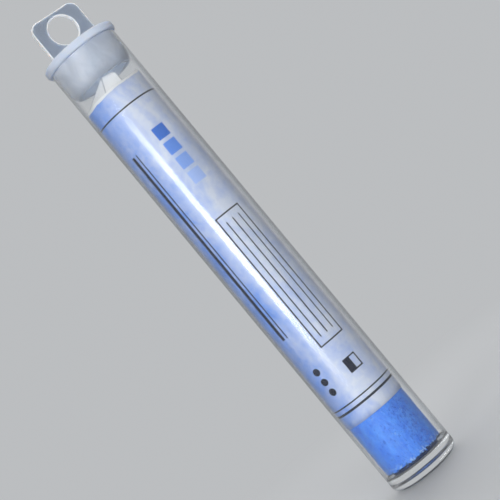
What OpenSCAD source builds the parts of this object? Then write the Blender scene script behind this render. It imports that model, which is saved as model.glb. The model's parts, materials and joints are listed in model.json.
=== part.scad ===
// Oil paint stick in a clear storage tube, in millimetres.
// A round stick of oil colour, rolled in a paper wrapper, stands in a clear tube with a thick
// closed end. A soft push-in stopper with a hanging tab closes the mouth.
// The tube stands on its closed end, and its axis is +Z.

/* [Stick] */
// Diameter of the stick of oil colour
stick_d = 19.05; // [14:0.05:30]
// Length of the stick
stick_l = 133.35; // [60:0.05:220]
// Rounding of the worn edge at the stick's lower end
stick_end_r = 1.8; // [0.8:0.1:3]
// Rounding of the edge at the stick's upper end
stick_top_r = 0.6; // [0.2:0.1:2]
// Distance that the loose stick stands off the tube's axis, to the left of the folded end
stick_offset = 0.4; // [0:0.05:0.5]
// Number of chips broken out of the worn edge
chip_count = 19; // [8:1:22]
// Mean width of those chips
chip_w = 1.4; // [0.6:0.05:1.5]

/* [Wrapper] */
// Thickness of the paper
paper_t = 0.15; // [0.1:0.01:0.3]
// Room between the stick and the paper
paper_gap = 0.05; // [0.02:0.01:0.2]
// Length of bare stick below the paper
bare_l = 18.3; // [5:0.1:50]
// Height of the paper's rim above the stick's upper end
rim_rise = 0.55; // [0.4:0.05:1.5]
// Slope of the rim across the roll, in degrees
rim_slope = 1.7; // [0:0.1:2.5]
// Width of the glued lap down the back of the roll
lap_w = 6; // [3:0.5:12]

/* [Folded end] */
// Direction that the folded end faces, turned about the axis, in degrees
fold_turn = -25; // [-180:1:180]
// Height of the folded peak above the stick's upper end
fold_h = 5.25; // [4:0.05:6.5]
// Lean of the fold's front panels, in degrees from upright
fold_lean = 34; // [20:1:40]
// Half width of the ridge of the fold
ridge_half_w = 1.6; // [0.5:0.05:2]
// Offset of the ridge's middle from the axis
ridge_x = 1.75; // [-1:0.05:2]
// Fall of the ridge towards its right end
ridge_drop = 0.65; // [0:0.05:1]
// Offset of the foot of the crease below the peak, negative to the left
crease_foot_x = -1.8; // [-3:0.1:1]
// Reach of the right panel's free edge from the axis
fold_edge_x = 4.2; // [3.8:0.1:5]
// Height of the right panel's free edge
fold_edge_h = 3.65; // [2:0.05:5]
// Turn of the left panel's foot round the roll, in degrees from the side
left_foot_turn = 12; // [0:1:40]
// Reach of the back panel's foot behind the axis
back_foot_y = 2.2; // [1:0.1:4]

/* [Tube] */
// Room between the paper's lap and the tube
tube_room = 0.725; // [0.525:0.025:2]
// Thickness of the tube's wall
tube_wall = 0.5; // [0.4:0.05:1.5]
// Thickness of the closed end
floor_t = 4.4; // [2.5:0.1:8]
// Rounding of the outer edge of the closed end
foot_r = 2.4; // [0.5:0.1:4]
// Rounding where the bore meets the floor
floor_fillet_r = 0.8; // [0.2:0.1:1.5]
// Free height between the stick's upper end and the stopper
head_room = 4.85; // [3:0.05:12]

/* [Stopper] */
// Length of the plug that goes into the tube
plug_l = 9.8; // [7:0.1:16]
// Radial running clearance of the plug in the bore
plug_gap = 0.03; // [0.02:0.01:0.08]
// Length of the curved nose that leads the plug into the bore
nose_l = 4.8; // [3:0.1:5.5]
// Amount by which the nose curves in from the plug's grip, on the radius
nose_taper = 1.35; // [0.5:0.05:1.8]
// Rounding of the nose's edge
nose_r = 0.45; // [0.2:0.05:0.55]
// Thickness of the plug's wall
plug_wall = 1.2; // [1.1:0.05:1.6]
// Overhang of the flange beyond the tube
flange_lip = 0.95; // [0.4:0.05:3]
// Thickness of the flange
flange_t = 2.5; // [1.8:0.1:4]
// Rounding of the flange's edges
flange_r = 0.8; // [0.2:0.05:0.85]
// Thickness of the roof over the hollow plug
roof_t = 1.3; // [0.8:0.1:1.7]

/* [Tab] */
// Width of the hanging tab
tab_w = 16.9; // [12:0.1:20]
// Height of the tab above the flange
tab_h = 12.4; // [11:0.1:18]
// Thickness of the tab
tab_t = 1.3; // [0.8:0.1:2.5]
// Rounding of the tab's upper corners
tab_corner_r = 3; // [0.5:0.1:5]
// Diameter of the hanging hole
hole_d = 8.9; // [5:0.1:10]
// Height of the hole's centre above the flange
hole_up = 6.4; // [5.5:0.1:7]

/* [Hidden] */
$fn = 96;
seam = 0.05;
through = 1;

stick_r = stick_d / 2;
stick_z = floor_t;
stick_top = stick_z + stick_l;

paper_ir = stick_r + paper_gap;
paper_or = paper_ir + paper_t;
paper_z = stick_z + bare_l;
rim_z = stick_top + rim_rise;
lap_angle = lap_w / paper_or * 180 / PI;
lap_or = paper_or + paper_t;

cover_z = stick_top + paper_gap;
fold_z = cover_z + paper_t / 2;
fold_r = paper_ir - paper_t;
fold_y = -sqrt(fold_r * fold_r - fold_edge_x * fold_edge_x);

bore_r = lap_or + tube_room;
tube_r = bore_r + tube_wall;
tube_h = stick_top + head_room + plug_l;

plug_r = bore_r - plug_gap;
plug_z = tube_h - plug_l;
grip_z = plug_z + nose_l;
bow_r = (nose_l * nose_l + nose_taper * nose_taper) / (2 * nose_taper);
bow_x = plug_r - bow_r;
nose_z = plug_z + nose_r;
nose_x = bow_x + sqrt(pow(bow_r - nose_r, 2) - pow(nose_l - nose_r, 2));
flange_out_r = tube_r + flange_lip;
flange_top = tube_h + flange_t;
hollow_top = flange_top - roof_t;
hole_z = flange_top + hole_up;

// Half section of a turned solid from z0 to z1, with its lower and upper outer edges rounded
module turned_section(r, z0, z1, low_r, high_r) {
    translate([0, z0 + low_r]) square([r, z1 - high_r - z0 - low_r]);
    translate([0, z0]) square([r - low_r, low_r + seam]);
    translate([0, z1 - high_r - seam]) square([r - high_r, high_r + seam]);
    translate([r - low_r, z0 + low_r]) circle(low_r);
    translate([r - high_r, z1 - high_r]) circle(high_r);
}

// Half section of the tube's bore, open at the mouth
module bore_section() {
    translate([0, floor_t + floor_fillet_r]) square([bore_r, tube_h]);
    translate([0, floor_t]) square([bore_r - floor_fillet_r, tube_h]);
    translate([bore_r - floor_fillet_r, floor_t + floor_fillet_r]) circle(floor_fillet_r);
}

// Half section of the tube's outside, with a rounded foot and a square mouth
module tube_section() {
    translate([0, foot_r]) square([tube_r, tube_h - foot_r]);
    square([tube_r - foot_r, foot_r + seam]);
    translate([tube_r - foot_r, foot_r]) circle(foot_r);
}

// Clear tube with a thick closed end
module tube() {
    color([0.86, 0.9, 0.92, 0.35])
    rotate_extrude()
    difference() {
        tube_section();
        bore_section();
    }
}

// Moves what it holds to the loose stick's place in the tube
module at_stick() {
    rotate([0, 0, fold_turn])
    translate([-stick_offset, 0, 0])
    children();
}

// Width of one chip out of the worn edge, uneven round the stick
function chip_size(i) = chip_w * (1 + 0.25 * sin(i * 137));

// Chips out of the worn edge at the stick's lower end
module chips() {
    pitch = 360 / chip_count;
    for (i = [0 : chip_count - 1])
    rotate([0, 0, i * pitch])
    translate([stick_r, 0, stick_z + stick_end_r / 2])
    rotate([40 + 25 * sin(i * 71), 45, 0])
    cube(chip_size(i), center = true);
}

// Stick of oil colour, with its lower edge worn and chipped
module stick() {
    color([0.2, 0.45, 0.9])
    at_stick()
    difference() {
        rotate_extrude()
        turned_section(stick_r, stick_z, stick_top, stick_end_r, stick_top_r);
        chips();
    }
}

// Paper rolled round the stick, with its glued lap down the back
module roll() {
    roll_h = rim_z - paper_z + through;
    rotate_extrude()
    translate([paper_ir, paper_z]) square([paper_t, roll_h]);
    rotate([0, 0, 90 - lap_angle / 2])
    rotate_extrude(angle = lap_angle)
    translate([paper_or - seam, paper_z]) square([paper_t + seam, roll_h]);
}

// Everything above the sloping rim
module above_rim() {
    reach = 2 * lap_or;
    translate([0, 0, rim_z])
    rotate([0, -rim_slope, 0])
    translate([-reach, -reach, 0]) cube([2 * reach, 2 * reach, 2 * through]);
}

// Point on the leaning front of the fold, x across and h above the stick's end
function front_point(x, h) = [x, fold_y + h * tan(fold_lean), fold_z + h];

// Flat panel of paper between the given corners
module panel(corners) {
    hull()
    for (corner = corners)
    translate(corner) sphere(d = paper_t, $fn = 16);
}

// Margin of the paper, tucked over the stick's end and pinched into a peak
module folded_end() {
    peak = front_point(ridge_x - ridge_half_w, fold_h);
    shoulder = front_point(ridge_x + ridge_half_w, fold_h - ridge_drop);
    crease_foot = front_point(crease_foot_x, 0);
    edge_foot = front_point(fold_edge_x, 0);
    edge_top = front_point(fold_edge_x, fold_edge_h);
    left_foot = [-fold_r * cos(left_foot_turn), -fold_r * sin(left_foot_turn), fold_z];
    back_left = [-fold_edge_x, back_foot_y, fold_z];
    back_right = [fold_edge_x, back_foot_y, fold_z];
    translate([0, 0, cover_z]) cylinder(r = paper_ir + seam, h = paper_t);
    panel([left_foot, crease_foot, peak]);
    panel([crease_foot, edge_foot, edge_top, shoulder, peak]);
    panel([left_foot, back_left, peak]);
    panel([back_left, back_right, peak]);
    panel([back_right, shoulder, peak]);
}

// Paper wrapper, one sheet
module wrapper() {
    color([0.8, 0.86, 0.95])
    at_stick()
    union() {
        difference() {
            roll();
            above_rim();
        }
        folded_end();
    }
}

// Half section of a straight stretch up to z1, bowed in below it, and cut off square at z0
module bowed_section(bow, z0, z1) {
    intersection() {
        translate([bow_x, grip_z]) circle(bow);
        translate([0, z0]) square([bow_x + bow, grip_z - z0]);
    }
    translate([0, grip_z - seam]) square([bow_x + bow, z1 - grip_z + seam]);
}

// Half section of the plug: a straight grip, then a nose that curves in to a rounded edge
module plug_section() {
    bow_end_z = grip_z - (grip_z - nose_z) * bow_r / (bow_r - nose_r);
    bowed_section(bow_r, bow_end_z, tube_h + seam);
    translate([0, plug_z]) square([nose_x, nose_r + seam]);
    translate([nose_x, nose_z]) circle(nose_r);
}

// Half section of the hollow in the plug, open downwards
module hollow_section() {
    bowed_section(bow_r - plug_wall, plug_z - through, hollow_top);
}

// Outline of the tab with rounded upper corners, drawn flat with its foot in the flange
module tab_outline() {
    corner_x = tab_w / 2 - tab_corner_r;
    translate([-tab_w / 2, -seam]) square([tab_w, tab_h - tab_corner_r + seam]);
    translate([-corner_x, 0]) square([2 * corner_x, tab_h]);
    for (side = [-1, 1])
    translate([side * corner_x, tab_h - tab_corner_r]) circle(tab_corner_r);
}

// Push-in stopper with its flange and hanging tab, one moulding
module stopper() {
    color([0.88, 0.9, 0.93, 0.7])
    difference() {
        union() {
            rotate_extrude()
            difference() {
                union() {
                    plug_section();
                    turned_section(flange_out_r, tube_h, flange_top, flange_r, flange_r);
                }
                hollow_section();
            }
            translate([0, tab_t / 2, flange_top])
            rotate([90, 0, 0])
            linear_extrude(tab_t) tab_outline();
        }
        translate([0, 0, hole_z])
        rotate([90, 0, 0])
        cylinder(d = hole_d, h = tab_t + 2 * through, center = true);
    }
}

tube();
stick();
wrapper();
stopper();
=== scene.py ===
"""Looks of an oil paint stick in its clear storage tube.

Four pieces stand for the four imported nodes: a clear tube with a thick closed end, the stick of blue
oil colour, its rolled paper wrapper with a pinched end, and a milky stopper with a hanging tab.
Lengths are in metres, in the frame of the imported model: +Z runs up the tube's axis.
"""
import json
import math

import bpy
import numpy as np
from mathutils import Matrix, Vector, noise


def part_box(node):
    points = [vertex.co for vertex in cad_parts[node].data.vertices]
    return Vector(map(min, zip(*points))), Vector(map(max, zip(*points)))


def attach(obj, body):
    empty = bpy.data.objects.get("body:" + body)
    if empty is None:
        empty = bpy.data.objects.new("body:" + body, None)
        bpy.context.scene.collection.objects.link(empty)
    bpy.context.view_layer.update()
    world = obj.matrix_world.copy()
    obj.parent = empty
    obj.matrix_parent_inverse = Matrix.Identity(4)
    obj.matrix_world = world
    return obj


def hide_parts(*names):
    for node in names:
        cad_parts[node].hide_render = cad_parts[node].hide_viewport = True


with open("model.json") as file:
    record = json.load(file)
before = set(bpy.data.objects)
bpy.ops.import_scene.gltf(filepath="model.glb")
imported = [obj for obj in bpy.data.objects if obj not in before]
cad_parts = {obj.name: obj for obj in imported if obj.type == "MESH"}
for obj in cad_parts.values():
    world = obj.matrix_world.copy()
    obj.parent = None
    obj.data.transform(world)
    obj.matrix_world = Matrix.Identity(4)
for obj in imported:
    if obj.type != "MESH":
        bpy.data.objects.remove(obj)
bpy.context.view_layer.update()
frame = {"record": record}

MM = 0.001

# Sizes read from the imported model
tube_low, tube_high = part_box("tube")
stick_low, stick_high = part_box("stick")
paper_low, paper_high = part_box("wrapper")
stopper_low, stopper_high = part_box("stopper")
hang_hole = next(mount for mount in frame["record"]["mounts"] if mount["name"] == "hang_hole")
TUBE_R = (tube_high.x - tube_low.x) / 2
TUBE_TOP = tube_high.z
FLOOR_Z = stick_low.z
STICK_R = (stick_high.x - stick_low.x) / 2
STICK_TOP = stick_high.z
STICK_PLACE = Vector(((stick_low.x + stick_high.x) / 2, (stick_low.y + stick_high.y) / 2, 0.0))
PAPER_Z = paper_low.z
FOLD_TOP = paper_high.z
PLUG_Z = stopper_low.z
FLANGE_R = (stopper_high.x - stopper_low.x) / 2
TAB_TOP = stopper_high.z
TAB_T = hang_hole["dims"]["length_mm"] * MM
HOLE_R = hang_hole["dims"]["r_mm"] * MM
HOLE_Z = hang_hole["pos_m"][2]

# Tube: sizes of the solid that its box does not show
WALL = 0.5 * MM
FOOT_R = 2.4 * MM
FLOOR_FILLET_R = 0.8 * MM
RIM_BEVEL = 0.15 * MM
BORE_R = TUBE_R - WALL
# The tube is dulled by handling: a rise above its foot and a fall below the plug
HANDLED_RISE = (15.0 * MM, 35.0 * MM)
HANDLED_FALL = (141.0 * MM, 128.0 * MM)
HANDLED_ROUGHNESS = 0.085

# Stick: its rough skin, with noise given by stretch along the stick, features per metre and octaves
SKIN_DEPTH = 0.05 * MM
STREAK_DEPTH = 0.022 * MM
LUMP_DEPTH = 0.045 * MM
PIT_DEPTH = 0.16 * MM
PIT_START = 0.42
STREAK_NOISE = (0.12, 900.0, 4)
LUMP_NOISE = (1.0, 170.0, 2)
PIT_NOISE = (0.6, 620.0, 3)
PIT_NOISE_SHIFT = 1.0
STICK_EDGE_R = 0.6 * MM
STICK_EDGE_INSET = 0.06 * MM
# Stick: its broken lower edge, with noise given by a place in it, features per metre and octaves
COARSE_NOISE = (5.0, 230.0, 3)
FINE_NOISE = (9.0, 1300.0, 3)
CHIP_NOISE = (14.0, 620.0, 2)
BREAK_H = 1.25 * MM
BREAK_MAX_H = 2.9 * MM
COARSE_H = 0.40 * MM
FINE_H = 0.55 * MM
CHIP_H = 0.60 * MM
STUB_DEPTH = 1.75 * MM
CHIP_DEPTH = 0.25 * MM
STUB_RINGS = (0.4, 0.8, 1.0)
# Steps of the edge: reach out from the stub or in from the skin, its waves, and share of the height
STUB_STEPS = [(0.05 * MM, 0.0, 0.45), (0.35 * MM, 0.15 * MM, 0.78)]
SKIN_STEPS = [(0.75 * MM, 0.30 * MM, 0.90), (0.30 * MM, 0.14 * MM, 0.97)]
LIP_DEPTH = 0.13 * MM
LIP_WAVE = 0.06 * MM
LIP_H = 0.10 * MM
SKIN_START = 0.35 * MM
EVEN_SKIN_H = 3.4 * MM
UNDER_PAPER = 1.0 * MM
# Stick: zones of its colour, as heights or distances to the right of its middle, and shares of its noise
CRUMB_ZONE = (FLOOR_Z + 3.4 * MM, FLOOR_Z + 1.9 * MM)
# Painted shadow: a dark zone under the crumbled lower edge, with a ragged upper line
UNDER_EDGE_SHADOW_ZONE = (FLOOR_Z + 1.2 * MM, FLOOR_Z + 1.4 * MM)
UNDER_EDGE_SHADOW_RAGGED = (-0.8 * MM, 0.8 * MM)
# Painted shade: the pits are painted closer together on the right side, where grazing light shows relief
PIT_SHADE_SIDE_RISE = (0.5 * MM, 3.0 * MM)
PIT_SHADE_SIDE_FALL = (9.0 * MM, 6.5 * MM)
PIT_SHADE_SIDE_SHARE = 0.08
STREAK_TONE = 0.35
PATCH_TONE = 0.65
STREAK_RELIEF = 0.5

# Wrapper: the rolled sheet, with sizes to the middle of the paper
PAPER_T = 0.15 * MM
PAPER_GAP = 0.05 * MM
PAPER_OFFSET = PAPER_GAP + PAPER_T / 2
PAPER_R = STICK_R + PAPER_OFFSET
COVER_Z = STICK_TOP + PAPER_OFFSET
LAP_ANGLE = 6.0 * MM / PAPER_R
LAP_RAMP = 9.0 * MM / PAPER_R
FRONT_TURN = 1.5 * math.pi
RIM_RISE = 0.55 * MM
RIM_SLOPE = math.tan(math.radians(1.7))
RIM_CORNER_H = 1.0 * MM
RIM_CORNER_SPREAD = math.radians(25.0)
# The rim's waves: height, number in a turn and phase, and a drop that makes up for most of their height
RIM_WAVES = [(0.10 * MM, 3.0, 0.7), (0.05 * MM, 8.0, 0.0)]
RIM_DROP = 0.12 * MM
# Wrapper: the margin that is tucked over the stick's end and pinched into a peak
COVER_INSET = 0.02 * MM
COVER_WAVE_H = 0.04 * MM
COVER_WAVES = 5
FOLD_LEAN = math.tan(math.radians(34.0))
FOLD_R = PAPER_R - 0.25 * MM
FOLD_EDGE_X = 4.2 * MM
FOLD_EDGE_RISE = 3.65 * MM
PEAK_X = 0.15 * MM
SHOULDER_X = 3.35 * MM
SHOULDER_DROP = 0.65 * MM
CREASE_FOOT_X = -1.8 * MM
LEFT_FOOT_TURN = math.radians(12.0)
BACK_FOOT_Y = 2.2 * MM
LEFT_BULGE = 0.12 * MM
BACK_BULGE = 0.10 * MM

# Stopper: sizes of the solid that its box does not show
FLANGE_T = 2.5 * MM
FLANGE_EDGE_R = 0.8 * MM
FLANGE_TOP = TUBE_TOP + FLANGE_T
PLUG_GAP = 0.03 * MM
GRIP_R = BORE_R - PLUG_GAP
NOSE_L = 4.8 * MM
NOSE_TAPER = 1.35 * MM
NOSE_EDGE_R = 0.45 * MM
GRIP_Z = PLUG_Z + NOSE_L
BOW_R = (NOSE_L ** 2 + NOSE_TAPER ** 2) / (2 * NOSE_TAPER)
BOW_X = GRIP_R - BOW_R
PLUG_WALL = 1.2 * MM
ROOF_T = 1.3 * MM
HOLLOW_TOP = FLANGE_TOP - ROOF_T
HOLLOW_FILLET_R = 0.6 * MM
HOLLOW_EDGE_R = 0.3 * MM
TAB_W = 16.9 * MM
TAB_CORNER_R = 3.0 * MM
TAB_EDGE_R = 0.22 * MM
TAB_ROOT = 0.3 * MM
# Stopper: zones of its colour, and how much light passes straight through
# The tab's edges carry a painted white highlight that fades out over this width
TAB_EDGE_FADE = 0.55 * MM
TAB_START = FLANGE_TOP + 0.4 * MM
FLANGE_MARGIN = 0.1 * MM
CLEAR_NOSE = (PLUG_Z, PLUG_Z + 3.0 * MM)
NOSE_CLEARNESS = (0.70, 0.35)
TAB_CLEARNESS = 0.2
EDGE_CLEARNESS = 0.1

# Label places are in millimetres: across from the middle, up from the lower edge and down from the rim.
# On the tucked end they are the distance from a crease, 0 and a mark that says it isn't printed
FAR_FROM_CREASE = 5.0
UNPRINTED = -5.0
# Painted shade along the creases of the tucked end fades out over these distances
CREASE_SHADE_FADE = (0.05, 0.32)
MARGIN_W = (0.55, 0.85)
# The wash is deeper on the label's left, between a rise and a fall across it
WASH_RISE = (3.0, -11.0)
WASH_FALL = (-33.0, -17.0)
WASH_SIDE = 0.47
WASH_FLOW = 0.9
WASH_MOTTLE = 0.55
WASH_RANGE = (0.62, 1.22)
# Printed marks: the middle across and up, and half sizes or a radius
LABEL_RULES = [(0.0, 4.4, 40.0, 0.34), (0.0, 6.2, 40.0, 0.20), (0.0, 109.0, 40.0, 0.22)]
FRAME_LINE = 0.42
NOTE_FRAMES = [(3.4, 46.0, 4.3, 23.0), (20.0, 57.0, 6.5, 42.0), (-20.0, 57.0, 6.5, 42.0)]
NOTE_LINES = [(x, 46.0, 0.17, 20.5) for x in (1.2, 3.4, 5.6)]
NOTE_LINES += [(x, 57.0, 0.17, 38.0) for x in (-23.0, -20.0, -17.0, 17.0, 20.0, 23.0)]
SIDE_BARS = [(-8.2, 64.0, 0.55, 33.0), (-6.6, 64.0, 0.19, 33.0)]
RATING_DISCS = [(-6.6, z, 1.15) for z in (11.5, 15.0, 18.5)]
STRENGTH_SQUARE = (3.4, 14.5, 2.2, 2.2)
STRENGTH_FILL = (2.3, 14.5, 1.1, 2.2)
TINT_SQUARES = [(3.4, 82.0 + 5.2 * step, 2.0, 2.0) for step in range(4)]

# Colours of the clear and the milky plastic, with the tint of the lamps' light that passes through
CLEAR_MIDDLE = (0.985, 0.992, 0.998, 1.0)
# Painted shade at the clear tube's limbs, standing in for dark reflections along its edges
CLEAR_LIMB_PAINTED_SHADE = (0.15, 0.19, 0.24, 1.0)
CLEAR_LIGHT = (0.93, 0.94, 0.95, 1.0)
MILKY_DULL = (0.60, 0.63, 0.68, 1.0)
MILKY_PALE = (0.73, 0.757, 0.805, 1.0)
# Painted light: the flange is painted paler than the plug, standing in for the light it catches
MILKY_FLANGE_PAINTED_LIGHT = (0.72, 0.785, 0.93, 1.0)
MILKY_TAB = (0.35, 0.405, 0.485, 1.0)
# Painted highlight along the tab's edges and round its hole
MILKY_EDGE_HIGHLIGHT = (0.96, 0.97, 0.985, 1.0)
MILKY_LIGHT = (0.62, 0.65, 0.69, 1.0)
# Colours of the oil colour
OIL_DEEP = (0.050, 0.215, 0.88, 1.0)
OIL_BRIGHT = (0.10, 0.335, 0.99, 1.0)
OIL_SMEAR = (0.18, 0.42, 0.99, 1.0)
OIL_FLECK = (0.42, 0.66, 1.0, 1.0)
# Painted shade in the skin's pits, which are also small dents in the mesh
OIL_PIT_SHADE = (0.026, 0.115, 0.72, 1.0)
OIL_CRUMB = (0.44, 0.66, 1.0, 1.0)
# Painted shadow under the crumbled lower edge
OIL_UNDER_EDGE_SHADOW = (0.006, 0.014, 0.06, 1.0)
# Colours of the paper and its print, with the tints from pale to deep
MARGIN_WHITE = (0.98, 0.98, 0.98, 1.0)
TUCKED_WHITE = (0.88, 0.877, 0.86, 1.0)
INSIDE_WHITE = (0.80, 0.81, 0.80, 1.0)
# Painted shade along the creases of the tucked end
CREASE_SHADE_GREY = (0.50, 0.51, 0.53, 1.0)
INK = (0.007, 0.010, 0.026, 1.0)
WASH_PALE = (0.70, 0.752, 0.87, 1.0)
WASH_DEEP = (0.18, 0.34, 0.81, 1.0)
TINTS = [
    (0.40, 0.55, 0.93, 1.0),
    (0.26, 0.43, 0.90, 1.0),
    (0.14, 0.31, 0.84, 1.0),
    (0.06, 0.19, 0.66, 1.0),
]

# The folded end and the label's middle face this way, turned about the axis
FACING = math.radians(-25.0)

# Camera, against the direction that the label faces
CAMERA_TURN = math.radians(-0.56)
CAMERA_ELEVATION = math.radians(-1.2)
CAMERA_ROLL = math.radians(39.73)
CAMERA_DISTANCE = 0.4135
CAMERA_LENS = 105.14
SENSOR = 36.0
TARGET_ACROSS = 1.02 * MM
TARGET_Z = 79.34 * MM

# Pale surroundings
PALE = (0.50, 0.513, 0.527, 1.0)
FLOOR_PALE = (0.635, 0.651, 0.669, 1.0)
FLOOR_BOUNCE = (0.20, 0.203, 0.206, 1.0)
WORLD_WHITE = (1.0, 1.0, 1.0, 1.0)
WORLD_LIGHT = 0.06
FLOOR_RADIUS = 8.0
FLOOR_FADE = (0.08, 0.24)
LAMP_AIM_Z = 0.08

# Fineness of the meshes, and the edges that stay sharp, in degrees
TUBE_SEGMENTS = 256
STICK_SEGMENTS = 360
BARE_RINGS = 72
COVERED_RINGS = 10
STOPPER_SEGMENTS = 192
TAB_SEGMENTS = 240
ROLL_ROWS = 61
ROLL_COLUMNS = 241
PANEL_STEPS = 14
SHARP_ANGLE = 40.0
SHARP_PAPER_ANGLE = 50.0
SHARP_STICK_ANGLE = 55.0


def turned(angle, across, away, up):
    """A point given by its distances across, away and up, turned about the axis by an angle."""
    return Vector((
        across * math.cos(angle) - away * math.sin(angle),
        across * math.sin(angle) + away * math.cos(angle),
        up,
    ))


# Meshes

def add_object(name, data):
    """A new object of the scene."""
    made = bpy.data.objects.new(name, data)
    bpy.context.scene.collection.objects.link(made)
    return made


def shade(mesh, sharp_angle):
    """Shades a mesh smooth, except at edges sharper than an angle in degrees."""
    mesh.shade_smooth()
    mesh.set_sharp_from_angle(angle=math.radians(sharp_angle))


def make_object(name, points, faces, sharp_angle=SHARP_ANGLE):
    """A mesh object from points and faces."""
    mesh = bpy.data.meshes.new(name)
    mesh.from_pydata([tuple(p) for p in points], [], [tuple(f) for f in faces])
    mesh.validate()
    shade(mesh, sharp_angle)
    return add_object(name, mesh)


def arc(centre, radius, start, end, steps):
    """Points (r, z) of an arc from start to end, in degrees."""
    angles = np.radians(np.linspace(start, end, steps + 1))
    return [(centre[0] + radius * math.cos(a), centre[1] + radius * math.sin(a)) for a in angles]


def straight_wall(radius, start, end, steps):
    """Points (r, z) evenly along a straight wall."""
    return [(radius, z) for z in np.linspace(start, end, steps + 1)]


def even_turns(segments):
    """Angles evenly round a turn."""
    return np.linspace(0, 2 * math.pi, segments, endpoint=False)


def circle(radius, z, turns):
    """Points of a level circle about the axis."""
    return [(radius * math.cos(t), radius * math.sin(t), z) for t in turns]


def grid_faces(rows, columns, closed=False, looped=False, start=0):
    """Quads of a grid of points stored row by row.

    A closed grid joins its last column to its first, and a looped one its last row to its first.
    """
    faces = []
    for j in range(rows if looped else rows - 1):
        low = start + j * columns
        high = start + (j + 1) % rows * columns
        for i in range(columns if closed else columns - 1):
            after = (i + 1) % columns
            faces.append((low + i, low + after, high + after, high + i))
    return faces


def lathe(profile, segments):
    """Points and faces of a solid turned about Z. The profile starts and ends on the axis."""
    rings = profile[1:-1]
    points = [(0, 0, profile[0][1])]
    for r, z in rings:
        points += circle(r, z, even_turns(segments))
    points.append((0, 0, profile[-1][1]))
    faces = grid_faces(len(rings), segments, closed=True, start=1)
    last_ring = 1 + (len(rings) - 1) * segments
    for i in range(segments):
        after = (i + 1) % segments
        faces.append((0, 1 + after, 1 + i))
        faces.append((last_ring + i, last_ring + after, len(points) - 1))
    return points, faces


def make_tube():
    """Clear tube with a rounded foot, a thick floor and a lightly broken rim.

    A ring at a small distance from each rounding keeps the shading beside it flat.
    """
    beside = 0.12 * MM
    profile = [(0, 0), (TUBE_R - FOOT_R - beside, 0)]
    profile += arc((TUBE_R - FOOT_R, FOOT_R), FOOT_R, -90, 0, 14)
    profile += straight_wall(TUBE_R, FOOT_R + beside, TUBE_TOP - RIM_BEVEL - beside, 60)
    profile += arc((TUBE_R - RIM_BEVEL, TUBE_TOP - RIM_BEVEL), RIM_BEVEL, 0, 90, 4)
    profile += arc((BORE_R + RIM_BEVEL, TUBE_TOP - RIM_BEVEL), RIM_BEVEL, 90, 180, 4)
    profile += straight_wall(BORE_R, TUBE_TOP - RIM_BEVEL - beside, FLOOR_Z + FLOOR_FILLET_R + beside, 60)
    profile += arc((BORE_R - FLOOR_FILLET_R, FLOOR_Z + FLOOR_FILLET_R), FLOOR_FILLET_R, 0, -90, 8)
    profile += [(BORE_R - FLOOR_FILLET_R - beside, FLOOR_Z), (0, FLOOR_Z)]
    return make_object("clear_tube", *lathe(profile, TUBE_SEGMENTS))


def skin_noise(turn, along, scale, octaves, shift=0.0):
    """Smooth noise of about -1 to 1 on the stick's skin, with features of about 1 / scale metres."""
    roughness, step = 0.9, 2.0
    place = Vector((STICK_R * math.cos(turn) + shift, STICK_R * math.sin(turn), along))
    return noise.fractal(place * scale, roughness, step, octaves, noise_basis="PERLIN_ORIGINAL")


def stick_radius(turn, height):
    """Radius of the stick's rough skin at a turn about the axis and a height above its lower end."""

    def noise_of(stretch, scale, octaves, shift=0.0):
        return skin_noise(turn, height * stretch, scale, octaves, shift)

    pit = max(0.0, noise_of(*PIT_NOISE, PIT_NOISE_SHIFT) - PIT_START)
    waves = STREAK_DEPTH * noise_of(*STREAK_NOISE) + LUMP_DEPTH * noise_of(*LUMP_NOISE)
    return STICK_R - max(0.0, SKIN_DEPTH + waves + PIT_DEPTH * pit)


def broken_edge(turn):
    """Radius and height of points round the crumbled lower edge at a turn, from the floor upward."""
    coarse = skin_noise(turn, *COARSE_NOISE)
    fine = skin_noise(turn, *FINE_NOISE)
    chip = skin_noise(turn, *CHIP_NOISE)
    edge_h = BREAK_H + COARSE_H * coarse + FINE_H * fine + CHIP_H * max(0.0, chip)
    edge_h = min(BREAK_MAX_H, edge_h)
    stub_r = STICK_R - STUB_DEPTH - CHIP_DEPTH * chip
    section = [(share * stub_r, 0.0) for share in STUB_RINGS]
    section += [(stub_r + reach + wave * fine, share * edge_h) for reach, wave, share in STUB_STEPS]
    section += [(STICK_R - reach - wave * fine, share * edge_h) for reach, wave, share in SKIN_STEPS]
    section.append((STICK_R - LIP_DEPTH - LIP_WAVE * coarse, edge_h + LIP_H))
    section.append((stick_radius(turn, edge_h + SKIN_START), edge_h + SKIN_START))
    return section


def make_stick():
    """Stick of oil colour: a finely streaked, pitted skin and a crumbled lower edge."""
    turns = even_turns(STICK_SEGMENTS)
    length = STICK_TOP - FLOOR_Z
    paper_h = PAPER_Z - FLOOR_Z + UNDER_PAPER
    bare_heights = np.linspace(EVEN_SKIN_H, paper_h, BARE_RINGS)[:-1]
    covered_heights = np.linspace(paper_h, length - STICK_EDGE_R, COVERED_RINGS)
    edge_centre = (STICK_R - STICK_EDGE_INSET - STICK_EDGE_R, length - STICK_EDGE_R)
    rings = list(zip(*(broken_edge(t) for t in turns)))
    rings += [[(stick_radius(t, h), h) for t in turns] for h in (*bare_heights, *covered_heights)]
    rings += [[place] * STICK_SEGMENTS for place in arc(edge_centre, STICK_EDGE_R, 20, 90, 4)]
    points = []
    for ring in rings:
        points += [(r * math.cos(t), r * math.sin(t), FLOOR_Z + h) for t, (r, h) in zip(turns, ring)]
    faces = grid_faces(len(rings), STICK_SEGMENTS, closed=True)
    faces.append(tuple(reversed(range(STICK_SEGMENTS))))
    faces.append(tuple(range(len(points) - STICK_SEGMENTS, len(points))))
    made = make_object("paint_stick", points, faces, SHARP_STICK_ANGLE)
    made.data.transform(Matrix.Translation(STICK_PLACE))
    return made


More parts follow.
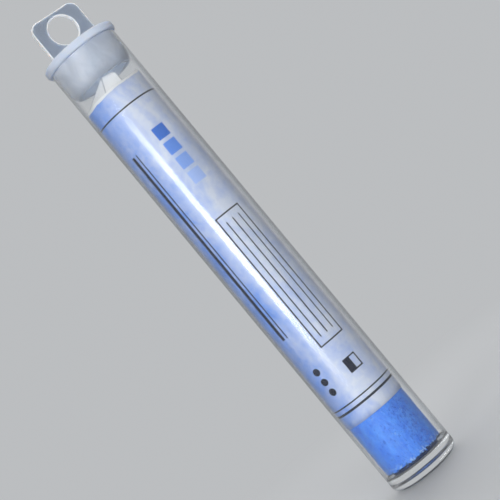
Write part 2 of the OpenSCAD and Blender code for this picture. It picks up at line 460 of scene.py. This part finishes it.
def rim_height(across, turn):
    """Height of the paper's upper rim, which slopes and waves a little and turns up at its right end."""
    waves = sum(height * math.sin(number * turn + phase) for height, number, phase in RIM_WAVES)
    from_right = math.remainder(turn, 2 * math.pi)
    corner = RIM_CORNER_H * math.exp(-(from_right / RIM_CORNER_SPREAD) ** 2)
    return STICK_TOP + RIM_RISE + across * RIM_SLOPE + waves + corner - RIM_DROP


def rolled_sheet():
    """Points, faces and label places of the paper rolled round the stick, with its lap at the back."""
    start = math.pi / 2 - LAP_ANGLE / 2
    end = start + 2 * math.pi + LAP_ANGLE
    ramp_start = start + 2 * math.pi - LAP_RAMP
    points = []
    label = []
    for j in range(ROLL_ROWS):
        for i in range(ROLL_COLUMNS):
            turn = start + (end - start) * i / (ROLL_COLUMNS - 1)
            lift = min(1.0, max(0.0, (turn - ramp_start) / LAP_RAMP))
            r = PAPER_R + PAPER_T * lift * lift * (3 - 2 * lift)
            across = r * math.cos(turn)
            top = rim_height(across, turn)
            z = PAPER_Z + (top - PAPER_Z) * j / (ROLL_ROWS - 1)
            points.append((across, r * math.sin(turn), z))
            label.append(((turn - FRONT_TURN) * PAPER_R / MM, (z - PAPER_Z) / MM, (top - z) / MM))
    return points, grid_faces(ROLL_ROWS, ROLL_COLUMNS), label


def end_cover():
    """Points, faces and label places of the flat turn of paper over the stick's end."""
    ring_count, segments = 4, 96
    points = [(0, 0, COVER_Z)]
    for k in range(1, ring_count + 1):
        share = k / ring_count
        r = (PAPER_R - COVER_INSET) * share
        for t in even_turns(segments):
            wave = COVER_WAVE_H * math.sin(COVER_WAVES * t) * share
            points.append((r * math.cos(t), r * math.sin(t), COVER_Z + wave))
    faces = [(0, 1 + i, 1 + (i + 1) % segments) for i in range(segments)]
    faces += grid_faces(ring_count, segments, closed=True, start=1)
    return points, faces, [(FAR_FROM_CREASE, 0.0, UNPRINTED)] * len(points)


def off_line(point, start, end):
    """Distance of a point from the line through two others."""
    return np.linalg.norm(np.cross(end - start, point - start)) / np.linalg.norm(end - start)


def panel(corners, creased, bulge=0.0):
    """Points, faces and label places of a panel between four corners, in order round it.

    The creased sides are numbered from the one that leaves the first corner.
    The panel swells out by the bulge at its middle.
    """
    a, b, c, d = (np.array(p) for p in corners)
    sides = [(a, b), (b, c), (c, d), (d, a)]
    normal = np.cross(c - a, d - b)
    normal = normal / np.linalg.norm(normal)
    points = []
    label = []
    for v in np.linspace(0.0, 1.0, PANEL_STEPS + 1):
        for u in np.linspace(0.0, 1.0, PANEL_STEPS + 1):
            flat = (1 - v) * ((1 - u) * a + u * b) + v * ((1 - u) * d + u * c)
            gap = min(off_line(flat, *sides[k]) / MM for k in creased)
            points.append(flat + normal * bulge * 16 * u * (1 - u) * v * (1 - v))
            label.append((min(FAR_FROM_CREASE, gap), 0.0, UNPRINTED))
    return points, grid_faces(PANEL_STEPS + 1, PANEL_STEPS + 1), label


def midway(a, b):
    """The point halfway between two others."""
    return tuple((np.array(a) + np.array(b)) / 2)


def fold_panels():
    """The panels of the margin that is tucked over the stick's end and pinched into a peak."""
    rise = FOLD_TOP - PAPER_T / 2 - COVER_Z
    foot_y = -math.sqrt(FOLD_R ** 2 - FOLD_EDGE_X ** 2)

    def front(x, h):
        return (x, foot_y + h * FOLD_LEAN, COVER_Z + h)

    peak = front(PEAK_X, rise)
    shoulder = front(SHOULDER_X, rise - SHOULDER_DROP)
    crease_foot = front(CREASE_FOOT_X, 0)
    edge_foot = front(FOLD_EDGE_X, 0)
    edge_top = front(FOLD_EDGE_X, FOLD_EDGE_RISE)
    left_foot = (-FOLD_R * math.cos(LEFT_FOOT_TURN), -FOLD_R * math.sin(LEFT_FOOT_TURN), COVER_Z)
    back_left = (-FOLD_EDGE_X, BACK_FOOT_Y, COVER_Z)
    back_right = (FOLD_EDGE_X, BACK_FOOT_Y, COVER_Z)
    return [
        panel((left_foot, midway(left_foot, crease_foot), crease_foot, peak), (2, 3), LEFT_BULGE),
        panel((crease_foot, edge_foot, edge_top, peak), (1, 3)),
        panel((peak, edge_top, shoulder, midway(peak, shoulder)), (1, 2, 3)),
        panel((peak, back_left, midway(left_foot, back_left), left_foot), (0, 3), BACK_BULGE),
        panel((shoulder, back_right, back_left, peak), (0, 2, 3), BACK_BULGE),
    ]


def make_wrapper():
    """Paper wrapper: the rolled label, the tucked cover and the pinched peak, as one piece of paper."""
    points = []
    faces = []
    label = []
    for sheet_points, sheet_faces, sheet_label in [rolled_sheet(), end_cover(), *fold_panels()]:
        faces += [tuple(len(points) + i for i in face) for face in sheet_faces]
        points += [turned(FACING, *p) for p in sheet_points]
        label += sheet_label
    made = make_object("paper_wrapper", points, faces, SHARP_PAPER_ANGLE)
    made.data.transform(Matrix.Translation(STICK_PLACE))
    place = made.data.attributes.new("label_place", "FLOAT_VECTOR", "POINT")
    place.data.foreach_set("vector", np.array(label, np.float32).ravel())
    thick = made.modifiers.new("paper_thickness", "SOLIDIFY")
    thick.thickness = PAPER_T
    thick.offset = 0.0
    thick.material_offset = 1
    thick.material_offset_rim = 1
    return made


def nose_edge(bow, edge_r):
    """Centre of a nose edge of a signed radius that runs on from a bow, and the bow's last angle."""
    drop = NOSE_L - abs(edge_r)
    across = math.sqrt((bow - edge_r) ** 2 - drop ** 2)
    return (BOW_X + across, PLUG_Z + abs(edge_r)), -math.degrees(math.atan2(drop, across))


def stopper_profile():
    """Half section of the plug and flange, from the roof of the hollow round to the flange's top."""
    beside = 0.1 * MM
    hollow_r = GRIP_R - PLUG_WALL
    hollow_bow_r = BOW_R - PLUG_WALL
    flange_flat_r = FLANGE_R - FLANGE_EDGE_R
    profile = [(0, HOLLOW_TOP), (hollow_r - HOLLOW_FILLET_R - beside, HOLLOW_TOP)]
    centre = (hollow_r - HOLLOW_FILLET_R, HOLLOW_TOP - HOLLOW_FILLET_R)
    profile += arc(centre, HOLLOW_FILLET_R, 90, 0, 6)
    centre, bow_end = nose_edge(hollow_bow_r, -HOLLOW_EDGE_R)
    profile += arc((BOW_X, GRIP_Z), hollow_bow_r, 0, bow_end, 10)
    profile += arc(centre, HOLLOW_EDGE_R, 180 + bow_end, 270, 6)[1:]
    centre, bow_end = nose_edge(BOW_R, NOSE_EDGE_R)
    profile += arc(centre, NOSE_EDGE_R, -90, bow_end, 6)
    profile += arc((BOW_X, GRIP_Z), BOW_R, bow_end, 0, 12)[1:]
    profile += [(GRIP_R, TUBE_TOP), (TUBE_R, TUBE_TOP), (flange_flat_r - beside, TUBE_TOP)]
    profile += arc((flange_flat_r, TUBE_TOP + FLANGE_EDGE_R), FLANGE_EDGE_R, -90, 0, 8)
    profile += arc((flange_flat_r, FLANGE_TOP - FLANGE_EDGE_R), FLANGE_EDGE_R, 0, 90, 8)
    profile += [(flange_flat_r - beside, FLANGE_TOP), (0, FLANGE_TOP)]
    return profile


def outline_reach(turn, inset):
    """Distance from the hole's centre to the tab's outline along a turn that isn't along an axis."""
    half = TAB_W / 2 - inset
    top = TAB_TOP - HOLE_Z - inset
    bottom = FLANGE_TOP - TAB_ROOT - HOLE_Z
    radius = TAB_CORNER_R - inset
    ray = np.array([abs(math.cos(turn)), math.sin(turn)])
    corner = np.array([half - radius, top - radius])
    reach = min(half / ray[0], max(top / ray[1], bottom / ray[1]))
    if np.all(reach * ray > corner):
        along = ray @ corner
        reach = along + math.sqrt(along ** 2 - corner @ corner + radius ** 2)
    return reach


def make_tab():
    """Hanging tab: a flat plate with rounded corners, a round hole and softened edges."""
    rounding = arc((TAB_EDGE_R, TAB_T / 2 - TAB_EDGE_R), TAB_EDGE_R, 180, 90, 4)
    half_step = math.pi / TAB_SEGMENTS
    points = []
    for t in even_turns(TAB_SEGMENTS) + half_step:
        section = [(HOLE_R + inset, -y) for inset, y in rounding]
        section += [(outline_reach(t, inset), -y) for inset, y in reversed(rounding)]
        section += [(outline_reach(t, inset), y) for inset, y in rounding]
        section += [(HOLE_R + inset, y) for inset, y in reversed(rounding)]
        points += [(r * math.cos(t), y, HOLE_Z + r * math.sin(t)) for r, y in section]
    faces = grid_faces(TAB_SEGMENTS, 4 * len(rounding), closed=True, looped=True)
    return make_object("tab", points, faces)


def make_stopper():
    """Milky stopper: the turned plug and flange joined to the hanging tab."""
    made = make_object("milky_stopper", *lathe(stopper_profile(), STOPPER_SEGMENTS))
    tab = make_tab()
    for piece in (made, tab):
        bpy.context.view_layer.objects.active = piece
        bpy.ops.object.mode_set(mode="EDIT")
        bpy.ops.mesh.select_all(action="SELECT")
        bpy.ops.mesh.normals_make_consistent(inside=False)
        bpy.ops.object.mode_set(mode="OBJECT")
    join = made.modifiers.new("tab", "BOOLEAN")
    join.operation = "UNION"
    join.solver = "EXACT"
    join.object = tab
    bpy.context.view_layer.objects.active = made
    bpy.ops.object.modifier_apply(modifier=join.name)
    bpy.data.objects.remove(tab)
    shade(made.data, SHARP_ANGLE)
    return made


# Materials

class Shader:
    """The node tree of a material or of the world, with short ways to add and join nodes."""

    def __init__(self, owner, surface, output):
        owner.use_nodes = True
        self.owner = owner
        self.tree = owner.node_tree
        self.surface = self.tree.nodes[surface]
        self.output = self.tree.nodes[output]

    def put(self, socket, value):
        """Links a socket's source, or sets a plain value."""
        if isinstance(value, bpy.types.NodeSocket):
            self.tree.links.new(value, socket)
        else:
            socket.default_value = value

    def add(self, kind, inputs=None, **settings):
        """A new node with its settings and inputs."""
        made = self.tree.nodes.new(kind)
        for name, value in settings.items():
            setattr(made, name, value)
        for name, value in (inputs or {}).items():
            self.put(made.inputs[name], value)
        return made

    def set(self, **inputs):
        """Inputs of the surface's node, named with underscores for spaces."""
        for name, value in inputs.items():
            self.put(self.surface.inputs[name.replace("_", " ")], value)

    def math(self, operation, a, b=0.0, c=0.0):
        """The result of a math node."""
        made = self.add("ShaderNodeMath", operation=operation)
        for socket, value in zip(made.inputs, (a, b, c)):
            self.put(socket, value)
        return made.outputs[0]

    def plus(self, a, b):
        """The sum of two values."""
        return self.math("ADD", a, b)

    def minus(self, a, b):
        """One value less another."""
        return self.math("SUBTRACT", a, b)

    def times(self, a, b):
        """The product of two values."""
        return self.math("MULTIPLY", a, b)

    def span(self, value, start, result=(0.0, 1.0), smooth=False):
        """A value mapped from a start range to a result range, and held at its ends."""
        return self.add("ShaderNodeMapRange", {
            "Value": value,
            "From Min": start[0],
            "From Max": start[1],
            "To Min": result[0],
            "To Max": result[1],
        }, interpolation_type="SMOOTHSTEP" if smooth else "LINEAR").outputs[0]

    def place(self):
        """Object coordinates."""
        return self.add("ShaderNodeTexCoord").outputs["Object"]

    def apart(self, vector):
        """The three parts of a vector."""
        return self.add("ShaderNodeSeparateXYZ", {"Vector": vector}).outputs

    def length(self, vector):
        """The length of a vector."""
        return self.add("ShaderNodeVectorMath", {"Vector": vector}, operation="LENGTH").outputs["Value"]

    def label_place(self):
        """Places on the label, which the wrapper's mesh holds."""
        return self.apart(self.add("ShaderNodeAttribute", attribute_name="label_place").outputs["Vector"])

    def noise(self, scale, detail=3.0, roughness=0.5, stretch=(1, 1, 1), distortion=0.0):
        """A noise value of 0 to 1 with features of about 1 / scale metres."""
        stretched = self.add("ShaderNodeMapping", {"Vector": self.place(), "Scale": stretch})
        return self.add("ShaderNodeTexNoise", {
            "Vector": stretched.outputs["Vector"],
            "Scale": scale,
            "Detail": detail,
            "Roughness": roughness,
            "Distortion": distortion,
        }).outputs[0]

    def mix(self, factor, a, b):
        """A colour between a and b."""
        made = self.add("ShaderNodeMix", data_type="RGBA")
        self.put(made.inputs[0], factor)
        self.put(made.inputs[6], a)
        self.put(made.inputs[7], b)
        return made.outputs[2]

    def paint(self, under, mask, strength, over):
        """A colour with another one painted over it where a mask is 1."""
        return self.mix(self.times(mask, strength), under, over)

    def bump(self, height, strength, distance):
        """A bumped normal from a height."""
        return self.add("ShaderNodeBump", {
            "Height": height,
            "Strength": strength,
            "Distance": distance,
        }).outputs["Normal"]

    def blend(self, factor, other):
        """Blends another shader into the surface by a factor."""
        mixed = self.add("ShaderNodeMixShader")
        self.put(mixed.inputs[0], factor)
        self.put(mixed.inputs[1], self.surface.outputs[0])
        self.put(mixed.inputs[2], other.outputs[0])
        self.put(self.output.inputs["Surface"], mixed.outputs[0])

    def pass_lamps(self, tint):
        """Lets the lamps' light through the surface, so that what is behind it is lit."""
        path = self.add("ShaderNodeLightPath")
        self.blend(path.outputs["Is Shadow Ray"], self.add("ShaderNodeBsdfTransparent", {"Color": tint}))

    def seen_directly(self):
        """1 for rays that show the surroundings: straight, mirrored or through clear plastic.

        Light that falls on a matt surface through the clear tube has no part in it, and stays even.
        """
        path = self.add("ShaderNodeLightPath")
        seen = self.math("MAXIMUM", path.outputs["Is Camera Ray"], path.outputs["Is Glossy Ray"])
        seen = self.math("MAXIMUM", seen, path.outputs["Is Transmission Ray"])
        return self.times(seen, self.math("LESS_THAN", path.outputs["Diffuse Depth"], 0.5))


def new_material(name):
    """The shader of a new material."""
    return Shader(bpy.data.materials.new(name), "Principled BSDF", "Material Output")


def clear_plastic():
    """Clear glossy plastic, a little dulled by handling between its ends, with painted shade at its limbs.
    """
    s = new_material("clear_plastic")
    # Painted shade: the base colour darkens towards the tube's limbs
    facing = s.add("ShaderNodeLayerWeight", {"Blend": 0.5}).outputs["Facing"]
    limb_painted_shade = s.span(facing, (0.45, 0.95), smooth=True)
    smudge = s.noise(140.0, stretch=(1, 1, 0.35))
    height = s.apart(s.place())["Z"]
    above_foot = s.span(height, HANDLED_RISE, smooth=True)
    below_plug = s.span(height, HANDLED_FALL, smooth=True)
    handled = s.times(s.times(above_foot, below_plug), HANDLED_ROUGHNESS)
    ripple = s.noise(55.0, detail=1.0, stretch=(1, 1, 0.3))
    s.set(
        Base_Color=s.mix(limb_painted_shade, CLEAR_MIDDLE, CLEAR_LIMB_PAINTED_SHADE),
        Roughness=s.plus(s.span(smudge, (0.35, 0.70), (0.06, 0.09)), handled),
        IOR=1.47,
        Transmission_Weight=1.0,
        Normal=s.bump(ripple, strength=0.10, distance=0.4 * MM),
    )
    s.pass_lamps(CLEAR_LIGHT)
    return s.owner


def oil_body(s, streak, patch, smear):
    """Colour of the stick's smooth skin: mottled, smeared and flecked."""
    tone = s.plus(s.times(streak, STREAK_TONE), s.times(patch, PATCH_TONE))
    body = s.mix(s.span(tone, (0.36, 0.60)), OIL_DEEP, OIL_BRIGHT)
    body = s.paint(body, smear, strength=0.6, over=OIL_SMEAR)
    fleck = s.span(s.noise(800.0, detail=2.0, roughness=0.6, stretch=(1, 1, 0.7)), (0.66, 0.72))
    return s.paint(body, fleck, strength=0.55, over=OIL_FLECK)


def oil_pit_shade(s):
    """1 where shade is painted in the small pits of the stick's skin, closer together on its right side,
    where grazing light shows relief.
    """
    sideways = s.add("ShaderNodeVectorMath", {
        0: s.place(),
        1: turned(FACING, 1.0, 0.0, 0.0),
    }, operation="DOT_PRODUCT").outputs["Value"]
    rise = s.span(sideways, PIT_SHADE_SIDE_RISE, smooth=True)
    fall = s.span(sideways, PIT_SHADE_SIDE_FALL, smooth=True)
    grain = s.noise(1600.0, roughness=0.6, stretch=(1, 1, 0.7))
    grain = s.plus(grain, s.times(s.times(rise, fall), PIT_SHADE_SIDE_SHARE))
    return s.span(grain, (0.60, 0.70))


def oil_colour():
    """Waxy blue oil colour: mottled and streaked, with painted shade in pits that lie closer on one side,
    and crumbled at its lower edge with a painted shadow below it.
    """
    s = new_material("oil_colour")
    height = s.apart(s.place())["Z"]
    streak = s.noise(1100.0, detail=4.0, roughness=0.65, stretch=(1, 1, 0.25), distortion=0.6)
    patch = s.noise(330.0, detail=4.0, roughness=0.6, stretch=(1, 1, 0.7), distortion=1.2)
    smear = s.noise(420.0, detail=4.0, roughness=0.65, stretch=(1, 1, 0.5), distortion=1.0)
    smear = s.span(smear, (0.56, 0.72))
    pit = oil_pit_shade(s)
    crumbs = s.span(s.noise(1200.0, roughness=0.6), (0.52, 0.60))
    crumbs = s.times(crumbs, s.span(height, CRUMB_ZONE, smooth=True))
    # Painted shadow in the gap under the crumbled lower edge
    ragged = s.span(s.noise(1100.0, roughness=0.65), (0.3, 0.7), UNDER_EDGE_SHADOW_RAGGED)
    under_edge_shadow = s.span(s.plus(height, ragged), UNDER_EDGE_SHADOW_ZONE, (1.0, 0.0))
    # Painted shade in the pits
    colour = s.paint(oil_body(s, streak, patch, smear), pit, strength=0.65, over=OIL_PIT_SHADE)
    colour = s.paint(colour, crumbs, strength=0.75, over=OIL_CRUMB)
    colour = s.paint(colour, under_edge_shadow, strength=0.95, over=OIL_UNDER_EDGE_SHADOW)
    relief = s.minus(s.plus(s.times(streak, STREAK_RELIEF), smear), pit)
    s.set(
        Base_Color=colour,
        Roughness=s.span(patch, (0.3, 0.7), (0.38, 0.56)),
        Specular_IOR_Level=0.45,
        Subsurface_Weight=0.06,
        Subsurface_Radius=(0.4, 0.7, 1.0),
        Subsurface_Scale=0.8 * MM,
        Normal=s.bump(relief, strength=0.60, distance=0.5 * MM),
    )
    return s.owner


def tab_edge_highlight(s, x, z):
    """1 along the tab's outline and round its hole, where a white highlight is painted, fading to 0 on its
    flat face.
    """
    past_side = s.math("MAXIMUM", s.minus(s.math("ABSOLUTE", x), TAB_W / 2 - TAB_CORNER_R), 0.0)
    past_top = s.math("MAXIMUM", s.minus(z, TAB_TOP - TAB_CORNER_R), 0.0)
    from_core = s.add("ShaderNodeCombineXYZ", {"X": past_side, "Z": past_top}).outputs["Vector"]
    outline_range = (TAB_CORNER_R - TAB_EDGE_FADE, TAB_CORNER_R - TAB_EDGE_R)
    outline = s.span(s.length(from_core), outline_range, smooth=True)
    from_hole = s.add("ShaderNodeCombineXYZ", {"X": x, "Z": s.minus(z, HOLE_Z)}).outputs["Vector"]
    hole_range = (HOLE_R + TAB_EDGE_FADE, HOLE_R + TAB_EDGE_R)
    hole = s.span(s.length(from_hole), hole_range, smooth=True)
    return s.math("MAXIMUM", outline, hole)


def milky_plastic():
    """Soft milky plastic: clearer at the nose, painted paler at the flange as painted light, and with a
    painted white highlight along the tab's edges.
    """
    s = new_material("milky_plastic")
    cloud = s.noise(230.0, detail=4.0, roughness=0.6, stretch=(1, 1, 0.6), distortion=0.8)
    bands = s.noise(260.0, detail=4.0, roughness=0.6, stretch=(0.3, 0.3, 4.0))
    x, _, height = s.apart(s.place())
    on_tab = s.math("GREATER_THAN", height, TAB_START)
    on_flange = s.math("COMPARE", height, TUBE_TOP + FLANGE_T / 2, FLANGE_T / 2 + FLANGE_MARGIN)
    # Painted highlight along the tab's outline and round its hole
    edge = s.times(tab_edge_highlight(s, x, height), on_tab)
    clearness = s.span(height, CLEAR_NOSE, NOSE_CLEARNESS)
    clearness = s.plus(clearness, s.times(s.minus(on_tab, on_flange), TAB_CLEARNESS))
    body = s.mix(s.span(cloud, (0.35, 0.65)), MILKY_DULL, MILKY_PALE)
    # Painted light: the flange is painted paler and bluer than the rest of the stopper
    body = s.mix(on_flange, body, MILKY_FLANGE_PAINTED_LIGHT)
    body = s.paint(body, on_tab, strength=0.85, over=MILKY_TAB)
    s.set(
        Base_Color=s.mix(edge, body, MILKY_EDGE_HIGHLIGHT),
        Roughness=s.span(cloud, (0.3, 0.7), (0.38, 0.46)),
        IOR=1.5,
        Specular_IOR_Level=0.28,
        Transmission_Weight=s.times(clearness, s.span(edge, (0.0, 1.0), (1.0, EDGE_CLEARNESS))),
        Subsurface_Weight=1.0,
        Subsurface_Radius=(0.9, 1.0, 1.1),
        Subsurface_Scale=2.0 * MM,
        Normal=s.bump(bands, strength=0.20, distance=0.3 * MM),
    )
    s.pass_lamps(MILKY_LIGHT)
    return s.owner


def white_with_crease_shade(s, from_crease, below_rim):
    """White of the paper: brightest at the rim, and with painted shade along the creases of the tucked end.
    """
    tucked = s.math("LESS_THAN", below_rim, UNPRINTED / 2)
    # Painted shade along the creases
    crease_shade = s.times(tucked, s.span(from_crease, CREASE_SHADE_FADE, (1.0, 0.0), smooth=True))
    return s.mix(crease_shade, s.mix(tucked, MARGIN_WHITE, TUCKED_WHITE), CREASE_SHADE_GREY)


def label_wash(s, across):
    """Watery blue wash, deeper on the label's left."""
    flow = s.noise(70.0, detail=4.0, roughness=0.6, stretch=(1, 1, 0.45), distortion=1.2)
    mottle = s.noise(420.0, detail=4.0, roughness=0.65)
    side = s.times(s.span(across, WASH_RISE, smooth=True), s.span(across, WASH_FALL, smooth=True))
    wash = s.plus(s.times(flow, WASH_FLOW), s.times(side, WASH_SIDE))
    wash = s.plus(wash, s.times(mottle, WASH_MOTTLE))
    return s.mix(s.span(wash, WASH_RANGE), WASH_PALE, WASH_DEEP)


def box_mask(s, across, up, mark):
    """1 inside a box on the label."""
    x, z, half_x, half_z = mark
    return s.times(s.math("COMPARE", across, x, half_x), s.math("COMPARE", up, z, half_z))


def frame_mask(s, across, up, mark):
    """1 on the line round a box on the label."""
    x, z, half_x, half_z = mark
    inside = (x, z, half_x - FRAME_LINE, half_z - FRAME_LINE)
    return s.minus(box_mask(s, across, up, mark), box_mask(s, across, up, inside))


def disc_mask(s, across, up, mark):
    """1 inside a disc on the label."""
    x, z, radius = mark
    from_x = s.minus(across, x)
    from_z = s.minus(up, z)
    return s.math("LESS_THAN", s.plus(s.times(from_x, from_x), s.times(from_z, from_z)), radius ** 2)


def label_ink(s, across, up):
    """How dark the label's rules, bars, discs and frames are printed, a little worn."""
    boxes = [STRENGTH_FILL] + LABEL_RULES + NOTE_LINES + SIDE_BARS
    masks = [box_mask(s, across, up, mark) for mark in boxes]
    masks += [disc_mask(s, across, up, mark) for mark in RATING_DISCS]
    masks += [frame_mask(s, across, up, mark) for mark in NOTE_FRAMES + [STRENGTH_SQUARE]]
    ink = masks[0]
    for mask in masks[1:]:
        ink = s.math("MAXIMUM", ink, mask)
    return s.times(ink, s.span(s.noise(3000.0), (0.25, 0.4), (0.82, 1.0)))


def printed_paper():
    """Outside of the wrapper: a watery blue wash with plain rules, bars and a tint scale."""
    s = new_material("printed_paper")
    across, up, below_rim = s.label_place()
    colour = label_wash(s, across)
    for square, tint in zip(TINT_SQUARES, TINTS):
        colour = s.mix(box_mask(s, across, up, square), colour, tint)
    colour = s.mix(label_ink(s, across, up), colour, INK)
    printed = s.math("GREATER_THAN", below_rim, s.span(s.noise(300.0), (0.3, 0.7), MARGIN_W))
    fibre = s.noise(4200.0, roughness=0.6)
    s.set(
        Base_Color=s.mix(printed, white_with_crease_shade(s, across, below_rim), colour),
        Roughness=s.span(fibre, (0.3, 0.7), (0.50, 0.62)),
        Specular_IOR_Level=0.2,
        Normal=s.bump(fibre, strength=0.10, distance=0.1 * MM),
    )
    return s.owner


def white_paper():
    """Unprinted inside of the wrapper."""
    s = new_material("white_paper")
    from_crease, _, below_rim = s.label_place()
    fibre = s.noise(3800.0, detail=4.0, roughness=0.6)
    tone = s.span(s.noise(350.0), (0.35, 0.65))
    s.set(
        Base_Color=s.mix(tone, INSIDE_WHITE, white_with_crease_shade(s, from_crease, below_rim)),
        Roughness=s.span(fibre, (0.3, 0.7), (0.72, 0.85)),
        Specular_IOR_Level=0.3,
        Normal=s.bump(fibre, strength=0.15, distance=0.1 * MM),
    )
    return s.owner


# Stage

def make_world():
    """Even soft light from all round, and a pale backdrop where it is seen."""
    s = Shader(bpy.data.worlds.new("studio"), "Background", "World Output")
    s.set(Color=WORLD_WHITE, Strength=WORLD_LIGHT)
    s.blend(s.seen_directly(), s.add("ShaderNodeBackground", {"Color": PALE, "Strength": 1.0}))
    bpy.context.scene.world = s.owner


def make_floor():
    """Pale floor that keeps the object's shadow and fades into the backdrop further out."""
    segments = 96
    floor = make_object("floor", circle(FLOOR_RADIUS, 0.0, even_turns(segments)), [range(segments)])
    s = new_material("pale_floor")
    seen = s.seen_directly()
    s.set(Base_Color=s.mix(seen, FLOOR_BOUNCE, FLOOR_PALE), Roughness=0.9, Specular_IOR_Level=0.1)
    fade = s.span(s.length(s.place()), FLOOR_FADE, smooth=True)
    s.blend(s.times(fade, seen), s.add("ShaderNodeEmission", {"Color": PALE, "Strength": 1.0}))
    floor.data.materials.append(s.owner)


def add_lamp(name, turn, distance, height, size, radiance, mirrored=False):
    """A soft box at a turn in degrees from the label's facing direction, aimed at the axis."""
    lamp = bpy.data.lights.new(name, "AREA")
    lamp.shape = "RECTANGLE"
    lamp.size, lamp.size_y = size
    lamp.energy = radiance * math.pi * size[0] * size[1]
    made = add_object(name, lamp)
    angle = FACING + math.radians(turn)
    made.location = (distance * math.sin(angle), -distance * math.cos(angle), height)
    look = Vector((0, 0, LAMP_AIM_Z)) - made.location
    made.rotation_euler = look.to_track_quat("-Z", "Y").to_euler()
    made.visible_glossy = mirrored
    made.visible_transmission = mirrored


def make_lamps():
    """A small soft box at the left for the long highlight, and broad soft light from the other sides."""
    key_size = (0.125, 0.149)
    add_lamp("key_strip", turn=-24.0, distance=0.42, height=0.1, size=key_size, radiance=8.6, mirrored=True)
    add_lamp("front_soft", turn=8.0, distance=0.80, height=0.12, size=(0.35, 0.35), radiance=11.5)
    add_lamp("right_soft", turn=80.0, distance=0.90, height=0.40, size=(0.6, 0.6), radiance=0.4)
    add_lamp("top_soft", turn=180.0, distance=0.20, height=0.95, size=(0.8, 0.8), radiance=2.2)
    add_lamp("back_soft", turn=175.0, distance=0.95, height=0.40, size=(0.7, 0.7), radiance=4.2)


def make_camera():
    """Camera square to the tube and rolled, so that the tube slants across the picture."""
    data = bpy.data.cameras.new("camera")
    data.lens = CAMERA_LENS
    data.sensor_width = SENSOR
    made = add_object("camera", data)
    target = turned(FACING, TARGET_ACROSS, 0.0, TARGET_Z)
    angle = FACING + CAMERA_TURN
    level = math.cos(CAMERA_ELEVATION)
    back = Vector((math.sin(angle) * level, -math.cos(angle) * level, math.sin(CAMERA_ELEVATION)))
    upright = (-back).to_track_quat("-Z", "Y").to_matrix().to_4x4()
    roll = Matrix.Rotation(-CAMERA_ROLL, 4, "Z")
    made.matrix_world = Matrix.Translation(target + back * CAMERA_DISTANCE) @ upright @ roll
    bpy.context.scene.camera = made


# Pieces on their bodies

def dress(piece, body, node, slot, *materials):
    """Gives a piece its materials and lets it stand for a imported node."""
    for material in materials:
        piece.data.materials.append(material)
    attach(piece, body)
    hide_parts(node)


make_camera()
make_world()
make_floor()
make_lamps()
dress(make_tube(), "tube", "tube", "clear_plastic", clear_plastic())
dress(make_stick(), "tube", "stick", "oil_colour", oil_colour())
dress(make_wrapper(), "tube", "wrapper", "printed_paper", printed_paper(), white_paper())
dress(make_stopper(), "stopper", "stopper", "milky_plastic", milky_plastic())

bpy.context.scene.view_settings.view_transform = "Standard"
